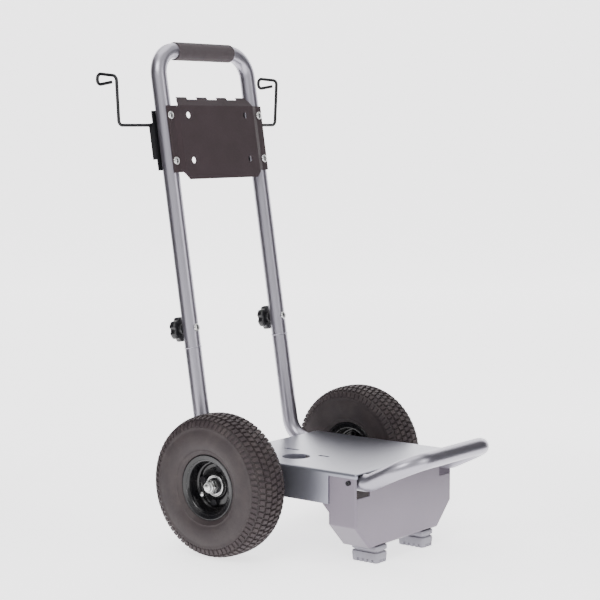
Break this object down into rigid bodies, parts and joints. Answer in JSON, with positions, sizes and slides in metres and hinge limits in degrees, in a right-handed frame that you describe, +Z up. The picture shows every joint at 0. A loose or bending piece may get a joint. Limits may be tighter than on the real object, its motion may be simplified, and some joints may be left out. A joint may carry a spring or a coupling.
{
  "type": "two-wheeled hand cart",
  "caption": "Two-wheeled cart with a sheet deck on a bent tube frame, a lift-off handle with a tool tray and wire hooks, a front lifting bar and feet.",
  "frame": {"origin": "middle of the cart's footprint, on the floor", "axes": "+X to the cart's right as seen by a person behind the handle, +Y to the rear, where the handle is, +Z up; the wheels turn about X"},
  "size_m": [0.53, 0.675, 0.9664],
  "materials": {
    "tube": "satin",
    "deck_sheet": "gloss",
    "apron_sheet": "satin",
    "zinc": "satin",
    "grip": "matte",
    "tray": "satin",
    "black_steel": "satin",
    "hook_block": "matte",
    "knob": "satin",
    "rim": "gloss",
    "tyre": "matte",
    "air_tube": "matte",
    "foot": "matte"
  },
  "bodies": {
    "chassis": {"left_frame_tube": "tube", "right_frame_tube": "tube", "front_handle": "tube", "deck_plate": "deck_sheet", "front_apron": "apron_sheet", "left_axle_bracket": "apron_sheet", "right_axle_bracket": "apron_sheet", "flange_bolts": "black_steel", "flange_nuts": "zinc", "flange_spacers": "zinc", "foot_bolts": "zinc", "foot_nuts": "zinc", "axle": "zinc", "axle_washers": "zinc", "axle_nuts": "zinc", "axle_spacers": "zinc", "left_foot": "foot", "right_foot": "foot"},
    "handle": {"left_upright": "tube", "right_upright": "tube", "handle_loop": "tube", "grip": "grip", "clamp_bolts": "zinc", "tool_tray": "tray", "tray_bolts": "zinc", "tray_nuts": "zinc", "left_hook_plate": "black_steel", "left_hook_block": "hook_block", "left_hook": "black_steel", "right_hook_plate": "black_steel", "right_hook_block": "hook_block", "right_hook": "black_steel"},
    "left_wheel": {"left_tyre": "tyre", "left_inner_tube": "air_tube", "left_rim_outer": "rim", "left_rim_inner": "rim", "left_hub": "zinc", "left_bearings": "zinc", "left_rim_bolts": "black_steel", "left_rim_nuts": "black_steel", "left_valve": "zinc"},
    "right_wheel": {"right_tyre": "tyre", "right_inner_tube": "air_tube", "right_rim_outer": "rim", "right_rim_inner": "rim", "right_hub": "zinc", "right_bearings": "zinc", "right_rim_bolts": "black_steel", "right_rim_nuts": "black_steel", "right_valve": "zinc"},
    "left_knob": {"left_knob": "knob", "left_knob_insert": "zinc"},
    "right_knob": {"right_knob": "knob", "right_knob_insert": "zinc"}
  },
  "joints": [
    {"name": "handle_lift", "type": "slide", "parent": "chassis", "child": "handle", "axis": [0, 0.1582, 0.9874], "range_m": [0, 0.07]},
    {"name": "left_wheel_spin", "type": "hinge", "parent": "chassis", "child": "left_wheel", "pos_m": [-0.221, 0.05138, 0.135], "axis": [1, 0, 0], "continuous": true},
    {"name": "right_wheel_spin", "type": "hinge", "parent": "chassis", "child": "right_wheel", "pos_m": [0.221, 0.05138, 0.135], "axis": [1, 0, 0], "continuous": true},
    {"name": "left_knob_turn", "type": "hinge", "parent": "handle", "child": "left_knob", "pos_m": [-0.1345, 0.22092, 0.407], "axis": [0, 0.9874, -0.1582], "continuous": true},
    {"name": "right_knob_turn", "type": "hinge", "parent": "handle", "child": "right_knob", "pos_m": [0.1345, 0.22092, 0.407], "axis": [0, 0.9874, -0.1582], "continuous": true}
  ]
}
